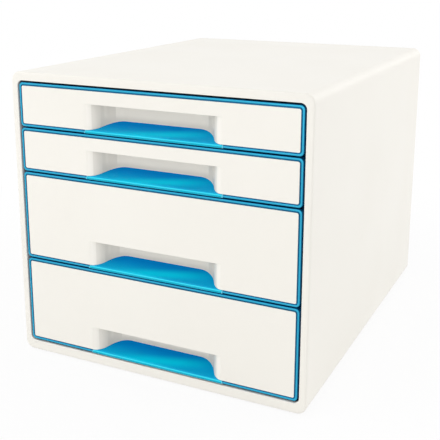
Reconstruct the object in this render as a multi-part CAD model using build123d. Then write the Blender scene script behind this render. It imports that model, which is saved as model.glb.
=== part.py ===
from build123d import *
from collections import namedtuple
from math import cos, radians, sin
import os

# Desktop cabinet with sliding drawers: shallow ones above, deep ones below.
# Sizes are in millimetres. X runs to the right, Y from the front to the back, Z up.
# The origin lies on the table, under the middle of the cabinet.

# Drawer fronts, top to bottom
front_width = 271.0
shallow_front_height = 40.2
deep_front_height = 82.35
shallow_drawers = 2
deep_drawers = 2
front_gap = 1.1

# Casing: a one-piece sleeve whose front edge turns in as a bezel
casing_depth = 363.0
casing_wall = 2.8
casing_corner_radius = 8.5
casing_edge_round = 1.8
bezel_side = 6.5
bezel_top = 7.8
bezel_bottom = 9.4
bezel_thickness = 3.0
bezel_inner_round = 0.6
reveal_side = 1.5
reveal_end = 1.6

# Coloured frame round each drawer front: a bead, a groove inside it and a web behind
rim_width = 2.9
rim_setback = 0.4
rim_corner_radius = 3.6
rim_round = 0.8
groove_width = 0.8
groove_depth = 1.0
web_thickness = 2.0

# White fascia with its finger pocket
fascia_setback = 0.2
fascia_thickness = 2.2
fascia_corner_radius = 1.6
fascia_edge_round = 0.4
pocket_mouth_width = 131.8
pocket_depth = 20.0
pocket_height = 22.8
pocket_wall = 1.6
pocket_undercut = 5.0
flare_radius_share = 0.78
pocket_corner_share = 1.04
flare_start_angle = 12.0
flare_end_angle = 58.0

# Snap hooks that hold the fascia and the frame on the tray
hook_side_inset = 32.6
hook_inset = 9.0
hook_width = 8.0
hook_thickness = 1.6
barb_height = 0.9
barb_length = 1.5

# Scooped pull lip
lip_width = 133.6
lip_rise = 7.4
lip_sag = 1.0
lip_thickness = 2.0
lip_nose_depth = 7.5
lip_nose_face = 1.2
lip_nose_slope = 1.7
lip_end_round = 0.5

# Drawer tray and the rails along its sides
tray_side_gap = 7.0
tray_wall = 2.0
tray_floor = 2.0
tray_corner_radius = 6.0
tray_edge_round = 0.8
tray_rim_round = 0.7
tray_inner_round = 2.0
tray_lift = 3.0
tray_drop = 4.0
tray_rear_gap = 6.0
rail_thickness = 2.0
rail_drop = 5.0
rail_front_gap = 6.0
lug_length = 8.0

# Runner panels along the inside of the casing
drawer_travel = 250.0
runner_panel_thickness = 1.8
spacer_height = 4.0
runner_rib_thickness = 2.2
runner_front_gap = 3.0
runner_tip_gap = 1.0
rail_side_gap = 1.8
stop_length = 5.0
guide_rib_width = 2.0
guide_rib_height = 3.0

# Rear panel and its screws
rear_panel_thickness = 2.5
rear_panel_inset = 2.6
rear_rib_width = 2.0
rear_rib_height = 2.0
rear_rib_shares = (0.25, 0.5, 0.75)
rear_rib_length_share = 0.8
screw_spacing = 180.0
screw_diameter = 2.9
screw_length = 12.0
screw_head_diameter = 6.0
screw_head_height = 1.9
screw_head_round = 0.7
screw_slot_width = 0.9
screw_slot_length = 3.4
screw_slot_depth = 1.0
screw_head_gap = 0.6
boss_diameter = 8.0
boss_length = 14.0

# Push-in rubber feet
foot_height = 1.2
foot_diameter = 18.0
foot_neck_diameter = 6.0
foot_head_diameter = 8.5
foot_head_height = 1.6
foot_edge_round = 0.4
foot_inset_side = 32.0
foot_inset_end = 36.0

# Clearances
fit_clearance = 0.1
slide_clearance = 0.2
guide_clearance = 0.4
stop_clearance = 0.3
overrun = 5.0

# Heights and widths that follow from the drawer fronts
front_heights = [shallow_front_height] * shallow_drawers + [deep_front_height] * deep_drawers
stack_height = sum(front_heights) + front_gap * (len(front_heights) - 1)
opening_width = front_width + 2 * reveal_side
opening_height = stack_height + 2 * reveal_end
opening_corner_radius = rim_corner_radius + reveal_side
casing_width = opening_width + 2 * bezel_side
casing_height = opening_height + bezel_top + bezel_bottom
casing_bottom = foot_height
casing_top = casing_bottom + casing_height
casing_middle = (casing_bottom + casing_top) / 2
opening_top = casing_top - bezel_top
opening_middle = opening_top - opening_height / 2
cavity_width = casing_width - 2 * casing_wall
cavity_height = casing_height - 2 * casing_wall
cavity_corner_radius = casing_corner_radius - casing_wall
cavity_floor = casing_bottom + casing_wall
cavity_ceiling = casing_top - casing_wall

# Places along the depth, from the front face to the back
casing_front = -casing_depth / 2
casing_rear = casing_depth / 2
bezel_back = casing_front + bezel_thickness
rim_front = casing_front + rim_setback
fascia_front = casing_front + fascia_setback
fascia_back = fascia_front + fascia_thickness
web_front = fascia_front + pocket_depth + pocket_wall + fit_clearance
frame_back = web_front + web_thickness
rear_panel_back = casing_rear - rear_panel_inset
rear_panel_front = rear_panel_back - rear_panel_thickness
tray_front = frame_back
tray_back = rear_panel_front - tray_rear_gap
tray_length = tray_back - tray_front
tray_middle = (tray_front + tray_back) / 2
tray_inside_front = tray_front + tray_wall

# Sizes of the fascia, the rails and the runners
fascia_width = front_width - 2 * rim_width
hook_side = fascia_width / 2 - hook_side_inset
runner_side = opening_width / 2
tray_side = runner_side - tray_side_gap
tray_width = 2 * tray_side
rail_side = runner_side - rail_side_gap
lug_side = runner_side - guide_clearance
runner_tip = tray_side + runner_tip_gap
rail_front = tray_front + rail_front_gap
rail_back = tray_back - tray_corner_radius
lug_front = rail_back - lug_length
front_stop_back = lug_front - drawer_travel - stop_clearance
rear_stop_front = rail_back + stop_clearance

# Sizes of the pocket's flared sides
pocket_mouth_side = pocket_mouth_width / 2
flare_radius = pocket_depth * flare_radius_share
pocket_corner_radius = pocket_depth * pocket_corner_share
flare_start = radians(flare_start_angle)
flare_end = radians(flare_end_angle)
flare_drop = flare_radius * (cos(flare_start) - cos(flare_end))
corner_drop = pocket_corner_radius * (1 - cos(flare_end))
side_length = (pocket_depth - flare_drop - corner_drop) / sin(flare_end)

# Places of the rear panel's screws
screw_side = screw_spacing / 2
screw_offset = screw_head_diameter / 2 + screw_head_gap
boss_heights = (cavity_floor + screw_offset, cavity_ceiling - screw_offset)
screw_places = [(side * screw_side, height) for side in (-1, 1) for height in boss_heights]

# Places of the feet
foot_x = casing_width / 2 - foot_inset_side
foot_y = casing_depth / 2 - foot_inset_end

Drawer = namedtuple("Drawer", "name bottom height")


def stack_of_drawers():
    """The drawers from top to bottom, each with the lower edge and height of its front."""
    drawers = []
    top = opening_top - reveal_end
    for number, height in enumerate(front_heights, start=1):
        drawers.append(Drawer(f"drawer_{number}", top - height, height))
        top -= height + front_gap
    return drawers


def front_middle(drawer):
    """Height of the middle of a drawer's front."""
    return drawer.bottom + drawer.height / 2


def fascia_bottom(drawer):
    """Lower edge of a drawer's white fascia."""
    return drawer.bottom + rim_width


def fascia_height(drawer):
    """Height of a drawer's white fascia."""
    return drawer.height - 2 * rim_width


def tray_base(drawer):
    """Underside of a drawer's tray."""
    return drawer.bottom + tray_lift


def tray_top(drawer):
    """Upper edge of a drawer's tray."""
    return drawer.bottom + drawer.height - tray_drop


def rail_top(drawer):
    """Upper face of the rails of a drawer's tray."""
    return tray_top(drawer) - rail_drop


def rail_base(drawer):
    """Lower face of the rails of a drawer's tray."""
    return rail_top(drawer) - rail_thickness


def block(x_from, x_to, y_from, y_to, z_from, z_to):
    """Rectangular block between two corners."""
    corner = Align.MIN
    body = Box(x_to - x_from, y_to - y_from, z_to - z_from, align=(corner, corner, corner))
    return Pos(x_from, y_from, z_from) * body


def slab(width, height, radius, y_from, y_to, z_middle):
    """Rounded rectangle as seen from the front, with its thickness along Y."""
    plane = Plane((0, y_from, z_middle), x_dir=(1, 0, 0), z_dir=(0, -1, 0))
    return extrude(plane * RectangleRounded(width, height, radius), amount=y_from - y_to)


def rod(x, z, diameter, y_from, y_to):
    """Round bar along Y."""
    plane = Plane((x, y_from, z), x_dir=(1, 0, 0), z_dir=(0, 1, 0))
    return extrude(plane * Circle(diameter / 2), amount=y_to - y_from)


def both_sides(body):
    """A shape and its mirror image on the other side of the cabinet."""
    return body + mirror(body, Plane.YZ)


def hook_places(drawer):
    """Middles of the snap hooks of a drawer's fascia, as seen from the front."""
    row = fascia_height(drawer) / 2 - hook_inset
    heights = (front_middle(drawer) - row, front_middle(drawer) + row)
    return [(side * hook_side, height) for side in (-1, 1) for height in heights]


def hook_slots(drawer):
    """Slots in the web and the tray's front wall that the snap hooks pass through."""
    half_width = hook_width / 2 + slide_clearance
    half_height = hook_thickness / 2 + slide_clearance
    y_from = web_front - overrun
    y_to = tray_inside_front + overrun
    slots = []
    for x, z in hook_places(drawer):
        slots.append(block(x - half_width, x + half_width, y_from, y_to, z - half_height, z + half_height))
    return slots


def casing_shell():
    """Sleeve with the bezel, the panel guides, the rear bosses and the holes for the feet."""
    body = slab(casing_width, casing_height, casing_corner_radius, casing_front, casing_rear, casing_middle)
    body -= slab(
        cavity_width, cavity_height, cavity_corner_radius, bezel_back, casing_rear + overrun, casing_middle
    )
    body -= slab(
        opening_width, opening_height, opening_corner_radius, casing_front - overrun, bezel_back + overrun,
        opening_middle,
    )
    body = round_casing_edges(body)
    for x_edge in (-runner_side, runner_side):
        body += panel_guides(x_edge)
    for x, z in screw_places:
        body += rod(x, z, boss_diameter, rear_panel_front - boss_length, rear_panel_front)
        bore = screw_diameter + 2 * fit_clearance
        body -= rod(x, z, bore, rear_panel_front - screw_length, rear_panel_front + overrun)
    for x, y in foot_places():
        hole = Cylinder(foot_neck_diameter / 2 + fit_clearance, casing_wall + 2 * overrun)
        body -= Pos(x, y, casing_bottom) * hole
    return body


def round_casing_edges(body):
    """Round the bezel's inner edge and the outer edges of the front and the back."""
    front = body.faces().sort_by(Axis.Y)[0]
    body = body.fillet(bezel_inner_round, front.inner_wires()[0].edges())
    front = body.faces().sort_by(Axis.Y)[0]
    body = body.fillet(casing_edge_round, front.outer_wire().edges())
    back = body.faces().sort_by(Axis.Y)[-1]
    return body.fillet(casing_edge_round / 2, back.outer_wire().edges())


def panel_guides(x_edge):
    """Ribs on the casing's floor and ceiling that keep a runner panel against the wall."""
    inner = x_edge - (guide_rib_width + fit_clearance) * (1 if x_edge > 0 else -1)
    outer = x_edge - fit_clearance * (1 if x_edge > 0 else -1)
    x_from, x_to = sorted((inner, outer))
    y_to = rear_panel_front - boss_length
    floor_rib = block(x_from, x_to, bezel_back, y_to, cavity_floor, cavity_floor + guide_rib_height)
    ceiling_rib = block(x_from, x_to, bezel_back, y_to, cavity_ceiling - guide_rib_height, cavity_ceiling)
    return floor_rib + ceiling_rib


def runner_panel(drawers):
    """Right-hand liner: a thin plate on spacers, with a channel for each drawer's rail."""
    y_from = bezel_back + fit_clearance
    y_to = rear_panel_front - fit_clearance
    liner = slab(
        cavity_width - 2 * fit_clearance, cavity_height - 2 * fit_clearance,
        cavity_corner_radius - fit_clearance, y_from, y_to, casing_middle,
    )
    plate_side = runner_side + runner_panel_thickness
    body = liner & block(runner_side, plate_side, y_from, y_to, casing_bottom, casing_top)
    for drawer in drawers:
        body += runner(drawer, y_to)
        z = rail_base(drawer) - spacer_height / 2
        body += liner & block(runner_side, casing_width, y_from, y_to, z, z + spacer_height)
    return body


def runner(drawer, y_to):
    """One drawer's channel: a ledge below its rail, a guide above it and the two stops."""
    y_from = tray_front + runner_front_gap
    seat = runner_side + runner_panel_thickness / 2
    ledge_top = rail_base(drawer) - slide_clearance
    guide_base = rail_top(drawer) + guide_clearance
    body = block(runner_tip, seat, y_from, y_to, ledge_top - runner_rib_thickness, ledge_top)
    body += block(runner_tip, seat, y_from, y_to, guide_base, guide_base + runner_rib_thickness)
    stop_tip = rail_side + guide_clearance
    stop_front = front_stop_back - stop_length
    body += block(stop_tip, seat, stop_front, front_stop_back, ledge_top, guide_base)
    rear_stop_back = rear_stop_front + stop_length
    body += block(runner_tip, seat, rear_stop_front, rear_stop_back, ledge_top, guide_base)
    return body


def rear_panel():
    """Panel that closes the back of the casing, with ribs on its inner face."""
    width = cavity_width - 2 * fit_clearance
    height = cavity_height - 2 * fit_clearance
    radius = cavity_corner_radius - fit_clearance
    body = slab(width, height, radius, rear_panel_front, rear_panel_back, casing_middle)
    rib_side = opening_width * rear_rib_length_share / 2
    rib_front = rear_panel_front - rear_rib_height
    for share in rear_rib_shares:
        z = cavity_floor + cavity_height * share
        z_from = z - rear_rib_width / 2
        body += block(-rib_side, rib_side, rib_front, rear_panel_front, z_from, z_from + rear_rib_width)
    for x, z in screw_places:
        hole = screw_diameter + 2 * fit_clearance
        body -= rod(x, z, hole, rear_panel_front - overrun, rear_panel_back + overrun)
    return body


def rear_panel_screw(x, z):
    """Pan-head screw with a cross slot, driven from behind."""
    head_top = rear_panel_back + screw_head_height
    body = rod(x, z, screw_head_diameter, rear_panel_back, head_top)
    body = body.fillet(screw_head_round, body.faces().sort_by(Axis.Y)[-1].edges())
    body += rod(x, z, screw_diameter, rear_panel_front - screw_length + fit_clearance, rear_panel_back)
    slot_floor = head_top - screw_slot_depth
    half_length = screw_slot_length / 2
    half_width = screw_slot_width / 2
    for along, across in ((half_length, half_width), (half_width, half_length)):
        body -= block(x - along, x + along, slot_floor, head_top + overrun, z - across, z + across)
    return body


def foot_places():
    """Middles of the feet, as seen from above."""
    return [(x, y) for x in (-foot_x, foot_x) for y in (-foot_y, foot_y)]


def foot(x, y):
    """Rubber foot: a pad under the casing and a head that snaps in above its floor."""
    base = (Align.CENTER, Align.CENTER, Align.MIN)
    pad = Cylinder(foot_diameter / 2, foot_height, align=base)
    pad = pad.fillet(foot_edge_round, pad.edges().group_by(Axis.Z)[0])
    neck = Pos(0, 0, foot_height) * Cylinder(foot_neck_diameter / 2, casing_wall, align=base)
    head = Pos(0, 0, cavity_floor) * Cylinder(foot_head_diameter / 2, foot_head_height, align=base)
    return Pos(x, y, 0) * (pad + neck + head)


def tray(drawer):
    """Open tray with a rail along each side and a stop lug at the back of each rail."""
    base = tray_base(drawer)
    top = tray_top(drawer)
    outline = RectangleRounded(tray_width, tray_length, tray_corner_radius)
    body = extrude(Pos(0, tray_middle, base) * outline, amount=top - base)
    body = body.fillet(tray_edge_round, body.edges().group_by(Axis.Z)[0])
    hollow = RectangleRounded(
        tray_width - 2 * tray_wall, tray_length - 2 * tray_wall, tray_corner_radius - tray_wall
    )
    space = extrude(Pos(0, tray_middle, base + tray_floor) * hollow, amount=top - base)
    body -= space.fillet(tray_inner_round, space.edges().group_by(Axis.Z)[0])
    body = body.fillet(tray_rim_round, body.faces().sort_by(Axis.Z)[-1].edges())
    body += both_sides(rail(drawer))
    for slot in hook_slots(drawer):
        body -= slot
    return body


def rail(drawer):
    """Right-hand rail of a tray, with its stop lug."""
    seat = tray_side - tray_wall / 2
    body = block(seat, rail_side, rail_front, rail_back, rail_base(drawer), rail_top(drawer))
    return body + block(seat, lug_side, lug_front, rail_back, rail_base(drawer), rail_top(drawer))


def front_frame(drawer):
    """Coloured frame: a bead round the fascia, a groove inside it and a web behind."""
    middle = front_middle(drawer)
    body = slab(front_width, drawer.height, rim_corner_radius, rim_front, frame_back, middle)
    for margin, depth in ((groove_width, groove_depth), (fit_clearance, web_front - rim_front)):
        body -= slab(
            fascia_width + 2 * margin, fascia_height(drawer) + 2 * margin, fascia_corner_radius + margin,
            rim_front - overrun, rim_front + depth, middle,
        )
    bead = body.faces().sort_by(Axis.Y)[0]
    body = body.fillet(rim_round, bead.outer_wire().edges() + bead.inner_wires()[0].edges())
    notch_side = lip_width / 2 + fit_clearance
    notch_back = casing_front + lip_nose_depth + fit_clearance
    notch_top = fascia_bottom(drawer)
    body -= block(-notch_side, notch_side, rim_front - overrun, notch_back, drawer.bottom - overrun, notch_top)
    for slot in hook_slots(drawer):
        body -= slot
    return body


def pocket_plan(grow, front):
    """Plan of the finger pocket, grown outwards by a wall and closed at a given depth in front."""
    start = (pocket_mouth_side + grow * sin(flare_start), grow * cos(flare_start))
    heading = (-cos(flare_start), sin(flare_start))
    turn = flare_end_angle - flare_start_angle
    flare = JernArc(start, heading, flare_radius - grow, -turn)
    side = PolarLine(flare @ 1, side_length, direction=flare % 1)
    corner = JernArc(side @ 1, side % 1, pocket_corner_radius + grow, flare_end_angle)
    entry = Line((start[0], front), start)
    half = Curve() + [entry, flare, side, corner]
    closing = [
        Line((-start[0], front), (start[0], front)),
        Line(corner @ 1, (-(corner @ 1).X, (corner @ 1).Y)),
    ]
    return make_face(half.edges() + mirror(half, Plane.YZ).edges() + closing)


def scoop_line(drawer):
    """Upper line of the pull lip from its nose to its back edge, as seen from the side."""
    start = (casing_front + lip_nose_slope, fascia_bottom(drawer))
    finish = (web_front - fit_clearance, fascia_bottom(drawer) + lip_rise)
    return SagittaArc(start, finish, -lip_sag)


def lip_clearance(drawer):
    """Space that the fascia leaves free for the pull lip."""
    scoop = scoop_line(drawer)
    base = drawer.bottom - overrun
    outline = Polyline(scoop @ 1, ((scoop @ 1).X + overrun, (scoop @ 1).Y), ((scoop @ 1).X + overrun, base),
                       ((scoop @ 0).X, base), scoop @ 0)
    section = Plane.YZ * make_face(scoop.edges() + outline.edges())
    space = extrude(section, amount=lip_width / 2 + fit_clearance, both=True)
    return Pos(0, 0, fit_clearance) * space


def pull_lip(drawer):
    """Scooped lip: a sloping nose in the frame's lower bar and a curved floor behind it."""
    scoop = scoop_line(drawer)
    nose_back = casing_front + lip_nose_depth
    seat = fascia_bottom(drawer) + fit_clearance
    underside = SagittaArc(((scoop @ 1).X, (scoop @ 1).Y - lip_thickness), (nose_back, seat), lip_sag)
    nose = Polyline(
        underside @ 1, (nose_back, drawer.bottom), (casing_front, drawer.bottom),
        (casing_front, drawer.bottom + lip_nose_face), scoop @ 0,
    )
    back_edge = Line(scoop @ 1, underside @ 0)
    section = Plane.YZ * make_face(scoop.edges() + back_edge.edges() + underside.edges() + nose.edges())
    body = extrude(section, amount=lip_width / 2, both=True)
    ends = body.edges().group_by(Axis.X)[0] + body.edges().group_by(Axis.X)[-1]
    nose_ends = [edge for edge in ends if edge.center().Y < casing_front + lip_nose_slope]
    return body.fillet(lip_end_round, nose_ends)


def fascia(drawer):
    """White front plate with the finger pocket behind it and the snap hooks."""
    base = fascia_bottom(drawer)
    roof = base + pocket_height + pocket_undercut
    body = slab(
        fascia_width, fascia_height(drawer), fascia_corner_radius, fascia_front, fascia_back,
        front_middle(drawer),
    )
    body = body.fillet(fascia_edge_round, body.faces().sort_by(Axis.Y)[0].edges())
    walls = Pos(0, fascia_front, base) * pocket_plan(pocket_wall, pocket_wall / 2)
    body += extrude(walls, amount=roof + pocket_wall - base)
    mouth = Pos(0, fascia_front, base - overrun) * pocket_plan(0, -overrun)
    body -= extrude(mouth, amount=overrun + pocket_height)
    grip = extrude(mouth, amount=overrun + roof - base)
    body -= grip & block(-front_width, front_width, fascia_back, web_front, base - overrun, roof)
    body -= lip_clearance(drawer)
    for x, z in hook_places(drawer):
        body += snap_hook(x, z)
    return body


def snap_hook(x, z):
    """Hook that passes through the web and catches behind the tray's front wall."""
    half = hook_width / 2
    arm_top = z + hook_thickness / 2
    catch = tray_inside_front + fit_clearance
    arm_back = catch + barb_length
    arm_front = fascia_back - fascia_thickness / 2
    body = block(x - half, x + half, arm_front, arm_back, arm_top - hook_thickness, arm_top)
    return body + block(x - half, x + half, catch, arm_back, arm_top - hook_thickness, arm_top + barb_height)


def write(shape, name):
    """Save one piece under its name."""
    export_step(shape, f"parts/{name}.step")


os.makedirs("parts", exist_ok=True)
all_drawers = stack_of_drawers()

write(casing_shell(), "casing_shell")
right_runner = runner_panel(all_drawers)
write(right_runner, "right_runner_panel")
write(mirror(right_runner, Plane.YZ), "left_runner_panel")
write(rear_panel(), "rear_panel")
write(Compound(children=[rear_panel_screw(x, z) for x, z in screw_places]), "rear_panel_screws")
for end, y in (("front", -foot_y), ("rear", foot_y)):
    for hand, x in (("left", -foot_x), ("right", foot_x)):
        write(foot(x, y), f"{end}_{hand}_foot")
for drawer in all_drawers:
    write(tray(drawer), f"{drawer.name}_tray")
    write(front_frame(drawer), f"{drawer.name}_front_frame")
    write(fascia(drawer), f"{drawer.name}_fascia")
    write(pull_lip(drawer), f"{drawer.name}_pull_lip")
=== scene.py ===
from math import pi, radians
import bpy
from mathutils import Matrix, Vector


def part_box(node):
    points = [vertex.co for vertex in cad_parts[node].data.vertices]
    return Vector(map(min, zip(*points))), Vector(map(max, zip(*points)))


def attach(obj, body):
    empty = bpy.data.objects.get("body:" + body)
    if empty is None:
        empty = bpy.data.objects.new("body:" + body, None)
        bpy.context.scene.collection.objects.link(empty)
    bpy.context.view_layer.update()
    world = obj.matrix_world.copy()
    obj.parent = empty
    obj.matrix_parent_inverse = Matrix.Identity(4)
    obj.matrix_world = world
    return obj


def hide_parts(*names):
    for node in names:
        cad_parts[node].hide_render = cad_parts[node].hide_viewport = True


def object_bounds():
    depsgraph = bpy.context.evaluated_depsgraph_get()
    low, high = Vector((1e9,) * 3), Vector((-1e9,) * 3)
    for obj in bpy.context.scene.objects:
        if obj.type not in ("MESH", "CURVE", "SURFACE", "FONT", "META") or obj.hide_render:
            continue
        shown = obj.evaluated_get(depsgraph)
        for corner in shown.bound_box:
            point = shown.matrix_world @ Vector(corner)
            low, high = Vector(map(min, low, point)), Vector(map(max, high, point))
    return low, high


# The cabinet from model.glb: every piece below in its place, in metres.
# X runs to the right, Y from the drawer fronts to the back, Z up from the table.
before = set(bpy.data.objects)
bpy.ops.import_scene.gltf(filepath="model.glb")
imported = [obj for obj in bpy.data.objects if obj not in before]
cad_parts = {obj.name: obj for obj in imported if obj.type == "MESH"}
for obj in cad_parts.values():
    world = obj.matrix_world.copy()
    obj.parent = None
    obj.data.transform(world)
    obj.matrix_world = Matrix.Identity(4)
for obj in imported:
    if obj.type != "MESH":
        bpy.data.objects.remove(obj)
cad_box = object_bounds()


# Casing: one sleeve of warm white polystyrene, injection moulded in a polished tool.
# Its front edge turns in as a narrow bezel, and the drawers slide in from there.
# The skin keeps a faint orange peel, cloudy gloss and edges rubbed smooth by handling.
def put(tree, kind, values, **options):
    """Add a node. Its options are set first, then its inputs, which are linked where an output is given."""
    node = tree.nodes.new(kind)
    for name, option in options.items():
        setattr(node, name, option)
    for key, value in values.items():
        if isinstance(value, bpy.types.NodeSocket):
            tree.links.new(value, node.inputs[key])
        else:
            node.inputs[key].default_value = value
    return node


def sockets(tree, inputs, outputs):
    """Give a node group its named sockets, and return its input and output nodes."""
    for name, (kind, value) in inputs.items():
        socket = tree.interface.new_socket(name, in_out="INPUT", socket_type=kind)
        if value is not None:
            socket.default_value = value
    for name, kind in outputs.items():
        tree.interface.new_socket(name, in_out="OUTPUT", socket_type=kind)
    return tree.nodes.new("NodeGroupInput").outputs, tree.nodes.new("NodeGroupOutput")


def calc(tree, operation, first, second=0.0):
    """Output of a Math node on one or two values or outputs."""
    return put(tree, "ShaderNodeMath", {0: first, 1: second}, operation=operation).outputs[0]


def ramp(tree, value, low, high, to_low=0.0, to_high=1.0):
    """A value taken smoothly from one range to another, and held at both ends."""
    inputs = {"Value": value, "From Min": low, "From Max": high, "To Min": to_low, "To Max": to_high}
    return put(tree, "ShaderNodeMapRange", inputs, interpolation_type="SMOOTHSTEP").outputs["Result"]


def blend(tree, share, first, second):
    """Colour between two colours."""
    return put(tree, "ShaderNodeMix", {0: share, 6: first, 7: second}, data_type="RGBA").outputs[2]


def between(tree, share, first, second):
    """Value between two values."""
    return put(tree, "ShaderNodeMix", {0: share, 2: first, 3: second}, data_type="FLOAT").outputs[0]


def noise(tree, where, scale, detail=2.0):
    """Value of a noise pattern at a place."""
    inputs = {"Vector": where, "Scale": scale, "Detail": detail}
    return put(tree, "ShaderNodeTexNoise", inputs).outputs["Fac"]


def spot(tree):
    """Place of a point of the piece on the cabinet."""
    return tree.nodes.new("ShaderNodeTexCoord").outputs["Object"]


scratch_limits = (0.7, 0.78)


def hairlines(tree, where, turn, width, length):
    """Mask of thin straight scratches that run one way over a surface."""
    stretched = put(
        tree, "ShaderNodeMapping", {"Vector": where, "Rotation": turn, "Scale": (length, width, width)},
        vector_type="TEXTURE",
    )
    return ramp(tree, noise(tree, stretched.outputs["Vector"], 1.0, 1.0), *scratch_limits)


# Scales and limits of the skin's patterns, and the turn, width and length of its two runs of scuffs
flow_scale, flow_limits = 7.0, (0.32, 0.68)
cloud_scale, cloud_limits = 16.0, (0.3, 0.7)
scuff_runs = (((0.4, 0.3, 0.6), 0.00025, 0.014), ((1.0, 0.8, -0.5), 0.0002, 0.011))
scuff_share = 0.7


def moulded_skin():
    """Shared finish of the mouldings: flow clouds in the tone, cloudy gloss, hairline scuffs, orange peel."""
    group = bpy.data.node_groups.new("moulded_skin", "ShaderNodeTree")
    given, made = sockets(
        group,
        {
            "Tone": ("NodeSocketColor", (0.8, 0.8, 0.8, 1)),
            "Flow Tone": ("NodeSocketColor", (0.7, 0.7, 0.7, 1)),
            "Gloss": ("NodeSocketFloat", 0.2),
            "Haze": ("NodeSocketFloat", 0.3),
            "Peel Scale": ("NodeSocketFloat", 300.0),
        },
        {"Color": "NodeSocketColor", "Roughness": "NodeSocketFloat", "Height": "NodeSocketFloat"},
    )
    where = spot(group)
    flow = ramp(group, noise(group, where, flow_scale), *flow_limits)
    cloud = ramp(group, noise(group, where, cloud_scale, 1.0), *cloud_limits)
    scuffs = calc(group, "MAXIMUM", *(hairlines(group, where, *run) for run in scuff_runs))
    dulled = calc(group, "MAXIMUM", cloud, calc(group, "MULTIPLY", scuffs, scuff_share))
    peel = noise(group, where, given["Peel Scale"], 1.0)
    group.links.new(blend(group, flow, given["Tone"], given["Flow Tone"]), made.inputs["Color"])
    group.links.new(between(group, dulled, given["Gloss"], given["Haze"]), made.inputs["Roughness"])
    group.links.new(peel, made.inputs["Height"])
    return group


# How far a normal leans where an edge counts as rubbed, and how the rubbing is broken up
edge_lean = (0.995, 0.88)
break_scale, break_limits, break_least = 60.0, (0.3, 0.62), 0.35


def rubbed_edges():
    """Mask of the outer edges that hands and cloths rub, broken up along their length."""
    group = bpy.data.node_groups.new("rubbed_edges", "ShaderNodeTree")
    given, made = sockets(group, {"Reach": ("NodeSocketFloat", 0.001)}, {"Mask": "NodeSocketFloat"})
    where = spot(group)
    rounded = put(group, "ShaderNodeBevel", {"Radius": given["Reach"]}, samples=4).outputs["Normal"]
    plain = group.nodes.new("ShaderNodeNewGeometry").outputs["Normal"]
    lean = put(group, "ShaderNodeVectorMath", {0: rounded, 1: plain}, operation="DOT_PRODUCT")
    edge = ramp(group, lean.outputs["Value"], *edge_lean)
    broken = ramp(group, noise(group, where, break_scale, 3.0), *break_limits, break_least, 1.0)
    group.links.new(calc(group, "MULTIPLY", edge, broken), made.inputs["Mask"])
    return group


skin = moulded_skin()
edges = rubbed_edges()
rubbed_haze = 0.6


def along(tree, axis):
    """Coordinate of a point of the piece along one axis of the cabinet."""
    return put(tree, "ShaderNodeSeparateXYZ", {0: spot(tree)}).outputs[axis]


def moulded_plastic(name, tones, worn_tone, shine, peel, glint, over=None, reach=0.001):
    """Plastic with the shared moulded finish and rubbed edges.
    Tones and shine are pairs for the plain and the clouded skin, peel is its scale and depth, and glint is
    how strongly it mirrors. A piece that has more of its own in its colour gives it as a function, over,
    and reach is how far the rubbing goes from an edge."""
    material = bpy.data.materials.new(name)
    material.use_nodes = True
    tree = material.node_tree
    shader = tree.nodes["Principled BSDF"]
    values = {
        "Tone": tones[0], "Flow Tone": tones[1], "Gloss": shine[0], "Haze": shine[1], "Peel Scale": peel[0],
    }
    finish = put(tree, "ShaderNodeGroup", values, node_tree=skin).outputs
    rubbed = put(tree, "ShaderNodeGroup", {"Reach": reach}, node_tree=edges).outputs["Mask"]
    colour = over(tree, finish["Color"]) if over else finish["Color"]
    colour = blend(tree, rubbed, colour, worn_tone)
    rough = between(tree, calc(tree, "MULTIPLY", rubbed, rubbed_haze), finish["Roughness"], shine[1])
    bump = put(tree, "ShaderNodeBump", {"Height": finish["Height"], "Strength": 1.0, "Distance": peel[1]})
    tree.links.new(colour, shader.inputs["Base Color"])
    tree.links.new(rough, shader.inputs["Roughness"])
    tree.links.new(bump.outputs["Normal"], shader.inputs["Normal"])
    shader.inputs["Specular IOR Level"].default_value = glint
    return material


def dress(material, *names):
    """Give nodes of the frame their material."""
    for name in names:
        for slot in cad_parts[name].material_slots:
            slot.material = material


white_tones = ((0.925, 0.9, 0.838, 1), (0.912, 0.886, 0.822, 1))
white_worn = (0.94, 0.918, 0.86, 1)
polished = (300.0, 0.000003)
casing_shine, casing_glint = (0.33, 0.39), 0.3
casing_white = moulded_plastic("casing_white", white_tones, white_worn, casing_shine, polished, casing_glint)
dress(casing_white, "casing_shell")


# Inside of the casing: the rear panel and the two runner panels that carry the drawers.
# They are plain white mouldings whose skin is spark eroded to a fine matt grain, which hides the
# marks of the drawers. The rear panel is screwed on, and the runner panels clip into the sleeve.
lump_scale = 0.6
pit_limits = (0.35, 0.1)
pit_share = 0.5


def spark_grain():
    """Fine pitted grain that spark erosion leaves in a tool, with a mask of its pits."""
    group = bpy.data.node_groups.new("spark_grain", "ShaderNodeTree")
    given, made = sockets(
        group, {"Scale": ("NodeSocketFloat", 1500.0)},
        {"Height": "NodeSocketFloat", "Pits": "NodeSocketFloat"},
    )
    where = spot(group)
    cells = put(group, "ShaderNodeTexVoronoi", {"Vector": where, "Scale": given["Scale"]})
    cells = cells.outputs["Distance"]
    lumps = noise(group, where, calc(group, "MULTIPLY", given["Scale"], lump_scale))
    group.links.new(between(group, 0.5, cells, lumps), made.inputs["Height"])
    group.links.new(ramp(group, cells, *pit_limits), made.inputs["Pits"])
    return group


spark = spark_grain()


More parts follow.
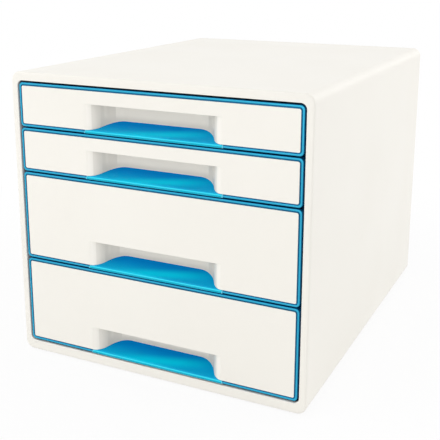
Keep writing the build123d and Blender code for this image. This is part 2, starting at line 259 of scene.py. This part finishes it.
def roughen(material, scale, depth, pit_tone):
    """Add the spark-eroded grain to a moulded plastic, with its pits a little deeper in tone."""
    tree = material.node_tree
    shader = tree.nodes["Principled BSDF"].inputs
    grain = put(tree, "ShaderNodeGroup", {"Scale": scale}, node_tree=spark).outputs
    share = calc(tree, "MULTIPLY", grain["Pits"], pit_share)
    plain = shader["Base Color"].links[0].from_socket
    tree.links.new(blend(tree, share, plain, pit_tone), shader["Base Color"])
    skin_normal = shader["Normal"].links[0].from_socket
    values = {"Height": grain["Height"], "Distance": depth, "Normal": skin_normal}
    tree.links.new(put(tree, "ShaderNodeBump", values).outputs["Normal"], shader["Normal"])


liner_tones = ((0.83, 0.81, 0.765, 1), (0.81, 0.79, 0.745, 1))
liner_pits = (0.74, 0.72, 0.675, 1)
liner_shine, satin_glint = (0.45, 0.55), 0.4
liner_grain = (1500.0, 0.00003)
liner_white = moulded_plastic("liner_white", liner_tones, white_worn, liner_shine, polished, satin_glint)
roughen(liner_white, *liner_grain, liner_pits)
dress(liner_white, "rear_panel", "left_runner_panel", "right_runner_panel")


# Rear panel screws: four pan-head self-tapping screws, cold formed from steel wire and zinc plated.
# Each has a rolled thread and a cross recess, and is driven through the rear panel into a boss
# of the casing. They stop at different turns.
screw_low, screw_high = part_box("rear_panel_screws")
screw_sizes = {
    "Head Radius": 0.003, "Head Height": 0.0019,
    "Shank Radius": 0.00145, "Length": screw_high.y - screw_low.y,
    "Thread Pitch": 0.0013, "Thread Depth": 0.00028,
    "Recess Width": 0.0009, "Recess Span": 0.0034, "Recess Depth": 0.001,
}
screw_seed = 7
screw_sides = 32
screw_sharp = radians(35)
pole_reach = 0.000002
# The second blade of the punch goes a little deeper, so that the two floors don't lie in one plane
punch_blades = (("Recess Span", "Recess Width", 1.0), ("Recess Width", "Recess Span", 1.05))
# Rings of the turned profile, counted from the top to the tip. In the head's outline each has its share of
# the head's radius and height, and in the shank's outline of its radius, its length and the thread's depth.
screw_rings = 64
head_outline = (
    (0, 0.0, 1.0), (1, 0.45, 0.99), (2, 0.68, 0.965), (3, 0.82, 0.92), (4, 0.9, 0.85), (5, 0.955, 0.75),
    (6, 0.985, 0.62), (7, 1.0, 0.45), (8, 1.0, 0.12), (9, 0.985, 0.04), (10, 0.95, 0.0), (11, 0.0, 0.0),
    (64, 0.0, 0.0),
)
shank_outline = (
    (0, 0.0, 0.0, 0.0), (10, 0.0, 0.0, 0.0), (11, 1.0, 0.0, 0.0), (12, 1.0, 0.02, 0.0),
    (14, 1.0, 0.06, 1.0), (58, 1.0, 0.86, 1.0), (60, 0.85, 0.91, 0.8), (62, 0.5, 0.96, 0.4),
    (63, 0.25, 0.985, 0.0), (64, 0.0, 1.0, 0.0),
)


def profile(tree, along_profile, outline, column):
    """Float curve through one column of a profile's rings."""
    node = put(tree, "ShaderNodeFloatCurve", {"Value": along_profile})
    points = node.mapping.curves[0].points
    for ring in outline[1:-1]:
        points.new(ring[0] / screw_rings, ring[column])
    for point, ring in zip(points, outline):
        point.location = (ring[0] / screw_rings, ring[column])
        point.handle_type = "VECTOR"
    node.mapping.update()
    return node.outputs[0]


def vertex_place(tree):
    """Coordinates of a mesh's points."""
    where = tree.nodes.new("GeometryNodeInputPosition").outputs[0]
    return put(tree, "ShaderNodeSeparateXYZ", {0: where}).outputs


def screw_tree(material):
    """Geometry nodes that turn one screw, cut its recess and set a copy on every point."""
    tree = bpy.data.node_groups.new("pan_head_screws", "GeometryNodeTree")
    tree.is_modifier = True
    inputs = {"Seats": ("NodeSocketGeometry", None)}
    inputs.update({name: ("NodeSocketFloat", size) for name, size in screw_sizes.items()})
    inputs["Seed"] = ("NodeSocketInt", screw_seed)
    given, made = sockets(tree, inputs, {"Screws": "NodeSocketGeometry"})
    sheet = put(
        tree, "GeometryNodeMeshGrid",
        {"Size X": 1.0, "Size Y": 1.0, "Vertices X": screw_rings + 1, "Vertices Y": screw_sides + 1},
    ).outputs["Mesh"]
    place = vertex_place(tree)
    down = calc(tree, "ADD", place["X"], 0.5)
    round_share = calc(tree, "ADD", place["Y"], 0.5)
    angle = calc(tree, "MULTIPLY", round_share, 2 * pi)
    shank_length = calc(tree, "SUBTRACT", given["Length"], given["Head Height"])
    height = calc(
        tree, "SUBTRACT",
        calc(tree, "MULTIPLY", profile(tree, down, head_outline, 2), given["Head Height"]),
        calc(tree, "MULTIPLY", profile(tree, down, shank_outline, 2), shank_length),
    )
    wound = calc(tree, "ADD", calc(tree, "DIVIDE", height, given["Thread Pitch"]), round_share)
    double_depth = calc(tree, "MULTIPLY", given["Thread Depth"], 2.0)
    valley = calc(tree, "MULTIPLY", calc(tree, "PINGPONG", wound, 0.5), double_depth)
    thread = calc(tree, "MULTIPLY", valley, profile(tree, down, shank_outline, 3))
    radius = calc(
        tree, "ADD",
        calc(tree, "MULTIPLY", profile(tree, down, head_outline, 1), given["Head Radius"]),
        calc(tree, "MULTIPLY", profile(tree, down, shank_outline, 1), given["Shank Radius"]),
    )
    radius = calc(tree, "SUBTRACT", radius, thread)
    turned = put(
        tree, "ShaderNodeCombineXYZ",
        {"X": calc(tree, "MULTIPLY", radius, calc(tree, "COSINE", angle)),
         "Y": calc(tree, "MULTIPLY", radius, calc(tree, "SINE", angle)), "Z": height},
    ).outputs[0]
    screw = put(tree, "GeometryNodeSetPosition", {"Geometry": sheet, "Position": turned}).outputs[0]
    screw = put(tree, "GeometryNodeMergeByDistance", {"Geometry": screw, "Distance": pole_reach}).outputs[0]
    top = put(tree, "ShaderNodeCombineXYZ", {"Z": given["Head Height"]}).outputs[0]
    for first, second, reach in punch_blades:
        depth = calc(tree, "MULTIPLY", given["Recess Depth"], 2.0 * reach)
        size = put(tree, "ShaderNodeCombineXYZ", {"X": given[first], "Y": given[second], "Z": depth})
        punch = put(tree, "GeometryNodeMeshCube", {"Size": size.outputs[0]}).outputs["Mesh"]
        punch = put(tree, "GeometryNodeTransform", {"Geometry": punch, "Translation": top}).outputs[0]
        cut = put(
            tree, "GeometryNodeMeshBoolean", {"Mesh 1": screw, "Mesh 2": punch}, operation="DIFFERENCE"
        )
        screw = cut.outputs["Mesh"]
    local = vertex_place(tree)
    squares = [calc(tree, "POWER", local[axis], 2.0) for axis in ("X", "Y")]
    ring = calc(tree, "SQRT", calc(tree, "ADD", *squares))
    screw = put(
        tree, "GeometryNodeStoreNamedAttribute", {"Geometry": screw, "Name": "ring", "Value": ring}
    ).outputs[0]
    set_in = put(
        tree, "GeometryNodeInstanceOnPoints",
        {"Points": given["Seats"], "Instance": screw, "Rotation": (-pi / 2, 0.0, 0.0)},
    ).outputs[0]
    stopped = put(
        tree, "FunctionNodeRandomValue", {0: (0, 0, 0), 1: (0, 0, 2 * pi), "Seed": given["Seed"]},
        data_type="FLOAT_VECTOR",
    ).outputs[0]
    stopped = put(tree, "FunctionNodeEulerToRotation", {0: stopped}).outputs[0]
    set_in = put(
        tree, "GeometryNodeRotateInstances", {"Instances": set_in, "Rotation": stopped, "Local Space": True}
    ).outputs[0]
    solid = put(tree, "GeometryNodeRealizeInstances", {"Geometry": set_in}).outputs[0]
    solid = put(tree, "GeometryNodeSetMaterial", {"Geometry": solid, "Material": material}).outputs[0]
    tree.links.new(solid, made.inputs["Screws"])
    return tree


zinc_tint = (0.66, 0.62, 0.5, 1)
zinc_dull = (0.3, 0.3, 0.3, 1)
zinc_rubbed = (0.78, 0.78, 0.79, 1)
tint_scale, tint_limits, tint_most = 500.0, (0.4, 0.65), 0.6
turning_pitch, turning_most = 0.00022, 0.22
recess_floor = (screw_high.y - 0.0005, screw_high.y - 0.0009)
recess_round = (0.0021, 0.0019)


def zinc_colour(tree, colour):
    """Faint yellow and blue tints of the plating, turning rings, and a darker grey floor in the recess."""
    ring = put(tree, "ShaderNodeAttribute", {}, attribute_name="ring").outputs["Fac"]
    wave = calc(tree, "SINE", calc(tree, "MULTIPLY", ring, 2 * pi / turning_pitch))
    turned = ramp(tree, wave, -1.0, 1.0, 0.0, turning_most)
    tint = ramp(tree, noise(tree, spot(tree), tint_scale), *tint_limits, 0.0, tint_most)
    ringed = blend(tree, turned, blend(tree, tint, colour, zinc_tint), zinc_dull)
    sunk = ramp(tree, along(tree, "Y"), *recess_floor)
    inside = calc(tree, "MULTIPLY", sunk, ramp(tree, ring, *recess_round))
    return blend(tree, inside, ringed, zinc_dull)


steel_tones = ((0.64, 0.65, 0.67, 1), (0.56, 0.57, 0.6, 1))
steel_shine, steel_glint = (0.3, 0.42), 0.5
steel_peel = (900.0, 0.000004)
steel = moulded_plastic(
    "screw_steel", steel_tones, zinc_rubbed, steel_shine, steel_peel, steel_glint, zinc_colour
)
steel.node_tree.nodes["Principled BSDF"].inputs["Metallic"].default_value = 1.0
seat_y = screw_high.y - screw_sizes["Head Height"]
head_reach = screw_sizes["Head Radius"]
seats = [
    (x, seat_y, z) for x in (screw_low.x + head_reach, screw_high.x - head_reach)
    for z in (screw_low.z + head_reach, screw_high.z - head_reach)
]
seat_mesh = bpy.data.meshes.new("screw_seats")
seat_mesh.from_pydata(seats, [], [])
screws = bpy.data.objects.new("rear_screws", seat_mesh)
bpy.context.scene.collection.objects.link(screws)
turning = screws.modifiers.new("turning", "NODES")
turning.node_group = screw_tree(steel)
for item in turning.node_group.interface.items_tree:
    if item.in_out == "INPUT" and item.name in screw_sizes:
        turning[item.identifier] = screw_sizes[item.name]
    elif item.in_out == "INPUT" and item.name == "Seed":
        turning[item.identifier] = screw_seed
screw_mesh = bpy.data.meshes.new_from_object(screws.evaluated_get(bpy.context.evaluated_depsgraph_get()))
screws.modifiers.clear()
screws.data = screw_mesh
screw_mesh.shade_smooth()
screw_mesh.set_sharp_from_angle(angle=screw_sharp)
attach(screws, "casing")
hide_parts("rear_panel_screws")


# Feet: four grey rubber pads, compression moulded, each pressed by its stem into a hole in the
# casing's floor. The rubber is matt, with pale specks of filler and a little bloom.
rubber_bloom = (0.26, 0.26, 0.255, 1)
rubber_speck = (0.36, 0.36, 0.35, 1)
speck_scale, speck_limits, speck_most = 2200.0, (0.66, 0.74), 0.7
bloom_scale, bloom_limits, bloom_most = 140.0, (0.45, 0.7), 0.5


def rubber_colour(tree, colour):
    """Pale specks of filler and a cloudy bloom on the rubber."""
    where = spot(tree)
    specks = ramp(tree, noise(tree, where, speck_scale, 1.0), *speck_limits, 0.0, speck_most)
    bloom = ramp(tree, noise(tree, where, bloom_scale, 3.0), *bloom_limits, 0.0, bloom_most)
    return blend(tree, specks, blend(tree, bloom, colour, rubber_bloom), rubber_speck)


rubber_tones = ((0.2, 0.2, 0.2, 1), (0.17, 0.17, 0.17, 1))
rubber_shine = (0.7, 0.85)
rubber_grain = (1200.0, 0.00003)
rubber = moulded_plastic(
    "foot_rubber", rubber_tones, rubber_bloom, rubber_shine, rubber_grain, satin_glint, rubber_colour
)
dress(rubber, "front_left_foot", "front_right_foot", "rear_left_foot", "rear_right_foot")


# Drawer trays: four open trays of white polystyrene, each moulded in one piece with its side rails.
# Their skin is a satin spark-eroded grain, and paper slid in and out leaves faint
# lines along it. The rails run in the channels of the runner panels.
drawers = ("drawer_1", "drawer_2", "drawer_3", "drawer_4")
tray_slid = (0.7, 0.69, 0.66, 1)
slid_width, slid_length, slid_share = 0.0011, 0.12, 0.35


def slid_colour(tree, colour):
    """Faint grey lines from front to back, where paper and the runners slide."""
    slid = hairlines(tree, spot(tree), (0.0, 0.0, pi / 2), slid_width, slid_length)
    return blend(tree, calc(tree, "MULTIPLY", slid, slid_share), colour, tray_slid)


tray_tones = ((0.87, 0.85, 0.8, 1), (0.85, 0.83, 0.78, 1))
tray_pits = (0.79, 0.77, 0.72, 1)
tray_shine = (0.33, 0.42)
tray_grain = (1800.0, 0.00002)
tray_white = moulded_plastic(
    "tray_white", tray_tones, white_worn, tray_shine, polished, satin_glint, slid_colour
)
roughen(tray_white, *tray_grain, tray_pits)
dress(tray_white, *(f"{drawer}_tray" for drawer in drawers))


# Front frames: the blue moulding behind each drawer front, of which only the bead round the edge shows.
# It is polystyrene coloured through with a pearl pigment, moulded in a polished tool.
# The fascia's hooks pass through its web and clamp it to the tray.
flake_scale, flake_limits, flake_most = 2600.0, (0.55, 1.0), 0.16


def pearl_flakes():
    """Shimmer of the pearl pigment: small flakes that each catch a little more or less light."""
    group = bpy.data.node_groups.new("pearl_flakes", "ShaderNodeTree")
    given, made = sockets(
        group,
        {"Color": ("NodeSocketColor", (0, 0.3, 0.6, 1)), "Flake": ("NodeSocketColor", (0, 0.5, 0.8, 1))},
        {"Color": "NodeSocketColor"},
    )
    cells = put(group, "ShaderNodeTexVoronoi", {"Vector": spot(group), "Scale": flake_scale})
    lit = put(group, "ShaderNodeSeparateColor", {0: cells.outputs["Color"]}).outputs[0]
    flake = ramp(group, lit, *flake_limits, 0.0, flake_most)
    group.links.new(blend(group, flake, given["Color"], given["Flake"]), made.inputs["Color"])
    return group


pearl = pearl_flakes()
flake_tone = (0.06, 0.58, 0.84, 1)


def flaked(tree, colour):
    """A colour with the pearl flakes in it."""
    values = {"Color": colour, "Flake": flake_tone}
    return put(tree, "ShaderNodeGroup", values, node_tree=pearl).outputs["Color"]


def behind(tree, front):
    """How far a point lies behind a front plane."""
    return calc(tree, "SUBTRACT", along(tree, "Y"), front)


rim_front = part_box("drawer_1_front_frame")[0].y
# Painted shade: the flank and side tones stand in for the shade down the bead's flanks, in its groove and in
# the gaps
rim_flank_shade = (0.0, 0.17, 0.37, 1)
rim_side_shade = (0.002, 0.2, 0.45, 1)
flank_depth = (0.00002, 0.0002)
side_depth = (0.0009, 0.0018)


def rim_light_and_shade(tree, colour):
    """Painted light and shade on the bead: a painted highlight along its crest, painted shade down its flanks
    and in the groove, and deeper painted shade on the sides.
    """
    depth = behind(tree, rim_front)
    bead = blend(tree, ramp(tree, depth, *flank_depth), flaked(tree, colour), rim_flank_shade)
    return blend(tree, ramp(tree, depth, *side_depth), bead, rim_side_shade)


rim_tones = ((0.03, 0.42, 0.65, 1), (0.025, 0.4, 0.62, 1))
rim_worn = (0.05, 0.46, 0.69, 1)
rim_shine, rim_glint = (0.18, 0.24), 0.3
rim_rubbing = 0.0001
pearl_share = 0.5
rim_blue = moulded_plastic(
    "rim_blue", rim_tones, rim_worn, rim_shine, polished, rim_glint, rim_light_and_shade, rim_rubbing
)
rim_blue.node_tree.nodes["Principled BSDF"].inputs["Metallic"].default_value = pearl_share
dress(rim_blue, *(f"{drawer}_front_frame" for drawer in drawers))


# Fascias: the white front plates, moulded in one piece with the finger pocket and the snap hooks.
# They are the same warm white polystyrene as the casing, from a polished tool, and the hooks
# hold them through the front frame to the tray.
fascia_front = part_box("drawer_1_fascia")[0].y
fascia_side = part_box("drawer_1_fascia")[1].x
# Tones of the painted highlight and painted shade in the pocket's ends, of the painted shade in its corners
# and seam, and of the painted shade, tinted blue, on the edge along the joint to the blue frame
flare_highlight = (0.955, 0.93, 0.87, 1)
flare_shade = (0.845, 0.82, 0.762, 1)
corner_shade = (0.795, 0.771, 0.714, 1)
seam_shade = (0.745, 0.722, 0.672, 1)
joint_shade_tint = (0.0, 0.2, 0.33, 1)
# Where they lie: distances to each side of the middle, behind the front and above the lower edge
mouth_band = (0.047, 0.052, 0.0655, 0.0665)
corner_band = (0.0449, 0.0455, 0.0508, 0.0522)
strip_band = (0.0526, 0.0534, 0.0548, 0.0556)
highlight_depth = (0.0001, 0.0008)
shade_depth = (0.0023, 0.0026)
corner_depth = (0.008, 0.0095)
seam_low, seam_high, seam_under = 0.0066, 0.0128, 0.001
joint_reach, joint_blur = 0.0006, 0.0001
joint_depth = (0.00005, 0.00015)


def band(tree, value, start, full, fade, end):
    """1 where a value lies between two limits: it rises from start to full and falls from fade to end."""
    return calc(tree, "MULTIPLY", ramp(tree, value, start, full), ramp(tree, value, end, fade))


def pocket_light_and_shade(tree, colour):
    """Painted highlight on the outer flare of the pocket's ends and painted shade deeper in them and in its
    corners, painted shade towards the seam to the lip, and painted shade tinted with the frame's blue along
    the joint to it."""
    side = calc(tree, "ABSOLUTE", along(tree, "X"))
    level = along(tree, "Z")
    depth = behind(tree, fascia_front)
    inner = fascia_side - joint_reach
    outline = ramp(tree, side, inner, inner + joint_blur)
    # Painted shade that darkens each drawer's pocket towards the seam to the lip
    seam_shadow = 0.0
    for drawer in drawers:
        bottom, top = (end.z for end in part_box(f"{drawer}_fascia"))
        seam = band(tree, level, bottom - seam_under, bottom, bottom + seam_low, bottom + seam_high)
        seam_shadow = calc(tree, "ADD", seam_shadow, seam)
        inner, outer = top - joint_reach, top + joint_reach
        upper = band(tree, level, inner, inner + joint_blur, outer - joint_blur, outer)
        outline = calc(tree, "MAXIMUM", outline, upper)
    mouth = band(tree, side, *mouth_band)
    highlit = calc(tree, "MULTIPLY", mouth, ramp(tree, depth, *highlight_depth))
    shady = calc(tree, "MULTIPLY", mouth, ramp(tree, depth, *shade_depth))
    sunk = ramp(tree, depth, *corner_depth)
    corners = calc(tree, "MAXIMUM", band(tree, side, *corner_band), band(tree, side, *strip_band))
    joint = calc(tree, "MULTIPLY", outline, ramp(tree, depth, *joint_depth))
    flare = blend(tree, shady, blend(tree, highlit, colour, flare_highlight), flare_shade)
    shaded = blend(tree, calc(tree, "MULTIPLY", corners, sunk), flare, corner_shade)
    seam_shadowed = blend(tree, calc(tree, "MULTIPLY", seam_shadow, sunk), shaded, seam_shade)
    return blend(tree, joint, seam_shadowed, joint_shade_tint)


fascia_shine, fascia_glint = (0.225, 0.265), 0.35
fascia_white = moulded_plastic(
    "fascia_white", white_tones, white_worn, fascia_shine, polished, fascia_glint, pocket_light_and_shade
)
dress(fascia_white, *(f"{drawer}_fascia" for drawer in drawers))


# Pull lips: the scooped floor of each finger pocket, which ends in a nose in the frame's lower bar.
# They are pearl blue polystyrene, with a painted reflection streaked across the scoop, painted shade deeper
# in tone at the root and painted highlights along the nose and at its ends, and are clipped between fascia
# and frame.
lip_low, lip_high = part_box("drawer_1_pull_lip")
# Painted shade at the root, a painted reflection in the streak and painted highlights on the nose
lip_root_shade = (0.0, 0.245, 0.69, 1)
lip_painted_reflection = (0.001, 0.615, 0.875, 1)
lip_edge = (0.005, 0.42, 0.6, 1)
lip_nose_highlight = (0.05, 0.8, 0.98, 1)
# Worn tone of the rubbed edges, also the painted highlight at the ends of the nose
lip_wear_and_highlight = (0.2, 0.7, 0.9, 1)
lip_bounce = (0.47, 0.52, 0.58, 1)
# Where they lie: distances behind the nose, and along the lip from the middle or in from its ends
root_depth = (0.003, 0.019)
edge_depth = (0.0003, 0.0001)
nose_band = (0.0001, 0.0004, 0.0007, 0.0013)
end_reach = (lip_high.x - 0.0012, lip_high.x - 0.0004)
streak_slant, streak_depth, streak_middle = 0.18, 0.0057, 0.002
streak_reach = (0.0086, 0.0003)
streak_fading, streak_least = (0.008, 0.066), 0.12


def lip_light_and_shade(tree, colour):
    """Painted shade deepening the blue towards the root of the lip, a painted reflection as a slanted light
    streak across the scoop, and painted highlights as a light line along the nose and at its ends."""
    depth = behind(tree, lip_low.y)
    across = along(tree, "X")
    line = calc(tree, "ADD", calc(tree, "MULTIPLY", across, streak_slant), streak_depth)
    off_line = calc(tree, "ABSOLUTE", calc(tree, "SUBTRACT", depth, line))
    off_middle = calc(tree, "ABSOLUTE", calc(tree, "SUBTRACT", across, streak_middle))
    fading = ramp(tree, off_middle, *streak_fading, 1.0, streak_least)
    streak = calc(tree, "MULTIPLY", ramp(tree, off_line, *streak_reach), fading)
    # Painted highlight at the ends of the nose
    end = ramp(tree, calc(tree, "ABSOLUTE", across), *end_reach)
    scoop = blend(tree, ramp(tree, depth, *root_depth), flaked(tree, colour), lip_root_shade)
    scoop = blend(tree, streak, scoop, lip_painted_reflection)
    scoop = blend(tree, ramp(tree, depth, *edge_depth), scoop, lip_edge)
    nosed = blend(tree, band(tree, depth, *nose_band), scoop, lip_nose_highlight)
    return blend(tree, end, nosed, lip_wear_and_highlight)


def quiet_bounce(material, tone):
    """Let light that bounces off a piece carry a quieter tone than the piece itself shows."""
    tree = material.node_tree
    base = tree.nodes["Principled BSDF"].inputs["Base Color"]
    bounced = tree.nodes.new("ShaderNodeLightPath").outputs["Is Diffuse Ray"]
    tree.links.new(blend(tree, bounced, base.links[0].from_socket, tone), base)


lip_tones = ((0.001, 0.4, 0.73, 1), (0.001, 0.38, 0.71, 1))
lip_shine, lip_glint = (0.16, 0.22), 0.012
lip_rubbing = 0.0003
lip_blue = moulded_plastic(
    "lip_blue", lip_tones, lip_wear_and_highlight, lip_shine, polished, lip_glint, lip_light_and_shade, lip_rubbing
)
quiet_bounce(lip_blue, lip_bounce)
dress(lip_blue, *(f"{drawer}_pull_lip" for drawer in drawers))


# Studio: a plain white floor under soft light, with the camera at the photograph's angle.
# The floor and the surroundings show white to the camera, and the floor keeps a soft shadow.
def seen_ray(tree):
    """1 for what the camera, a reflection or a see-through piece looks at, 0 for light that bounces."""
    rays = tree.nodes.new("ShaderNodeLightPath").outputs
    mirrored = calc(tree, "MAXIMUM", rays["Is Glossy Ray"], rays["Is Transmission Ray"])
    return calc(tree, "MAXIMUM", rays["Is Camera Ray"], mirrored)


floor_size = 20.0
floor_tone = (0.9, 0.9, 0.9, 1)
white_light = (1, 1, 1, 1)
shadow_reach, shadow_share = (0.22, 0.6), 0.9
bpy.ops.mesh.primitive_plane_add(size=floor_size)
floor = bpy.context.object
floor.name = "floor"
floor_white = bpy.data.materials.new("floor_white")
floor_white.use_nodes = True
tree = floor_white.node_tree
tree.nodes.remove(tree.nodes["Principled BSDF"])
away = put(tree, "ShaderNodeVectorMath", {0: spot(tree)}, operation="LENGTH").outputs["Value"]
share = calc(tree, "MULTIPLY", seen_ray(tree), ramp(tree, away, *shadow_reach, shadow_share, 1.0))
paper = put(tree, "ShaderNodeBsdfDiffuse", {"Color": floor_tone}).outputs[0]
glow = put(tree, "ShaderNodeEmission", {"Color": white_light, "Strength": 1.0}).outputs[0]
mix = put(tree, "ShaderNodeMixShader", {0: share, 1: paper, 2: glow}).outputs[0]
tree.links.new(mix, tree.nodes["Material Output"].inputs["Surface"])
floor.data.materials.append(floor_white)

ambient = 0.76
world = bpy.data.worlds.new("studio")
bpy.context.scene.world = world
world.use_nodes = True
tree = world.node_tree
surround = tree.nodes["Background"].inputs
surround["Color"].default_value = white_light
tree.links.new(ramp(tree, seen_ray(tree), 0.0, 1.0, ambient, 1.0), surround["Strength"])


def soft_box(name, place, size, power):
    """Square studio lamp aimed at the middle of the cabinet."""
    lamp = bpy.data.lights.new(name, "AREA")
    lamp.shape = "SQUARE"
    lamp.size = size
    lamp.energy = power
    holder = bpy.data.objects.new(name, lamp)
    holder.location = place
    middle = (cad_box[0] + cad_box[1]) / 2
    holder.rotation_euler = (middle - Vector(place)).to_track_quat("-Z", "Y").to_euler()
    bpy.context.scene.collection.objects.link(holder)


# Place of each lamp, its width in metres and its power in watts
lamps = {
    "key_light": ((-0.9, -0.9, 1.2), 1.5, 3.4),
    "side_light": ((-0.6, -0.8, 0.8), 0.9, 1.4),
    "front_light": ((0.0, -1.4, 0.15), 0.8, 2.0),
    "fill_light": ((1.1, 1.35, 1.2), 1.8, 9.8),
    "right_light": ((1.6, 0.2, 0.6), 1.2, 1.8),
}
for name, (place, size, power) in lamps.items():
    soft_box(name, place, size, power)

camera_place = Vector((0.3397, -0.7563, 0.3670))
camera_yaw = radians(25.59)
camera_pitch = radians(13.68)
camera_roll = radians(-0.17)
camera_lens = 66.69
camera_sensor = 36.0
camera_shift = -0.14
camera = bpy.data.objects.new("camera", bpy.data.cameras.new("camera"))
camera.data.sensor_width = camera_sensor
camera.data.lens = camera_lens
camera.data.shift_y = camera_shift
turn = (
    Matrix.Rotation(camera_yaw, 4, "Z") @ Matrix.Rotation(pi / 2 - camera_pitch, 4, "X")
    @ Matrix.Rotation(-camera_roll, 4, "Z")
)
camera.matrix_world = Matrix.Translation(camera_place) @ turn
bpy.context.scene.collection.objects.link(camera)
bpy.context.scene.camera = camera
bpy.context.scene.view_settings.view_transform = "Standard"
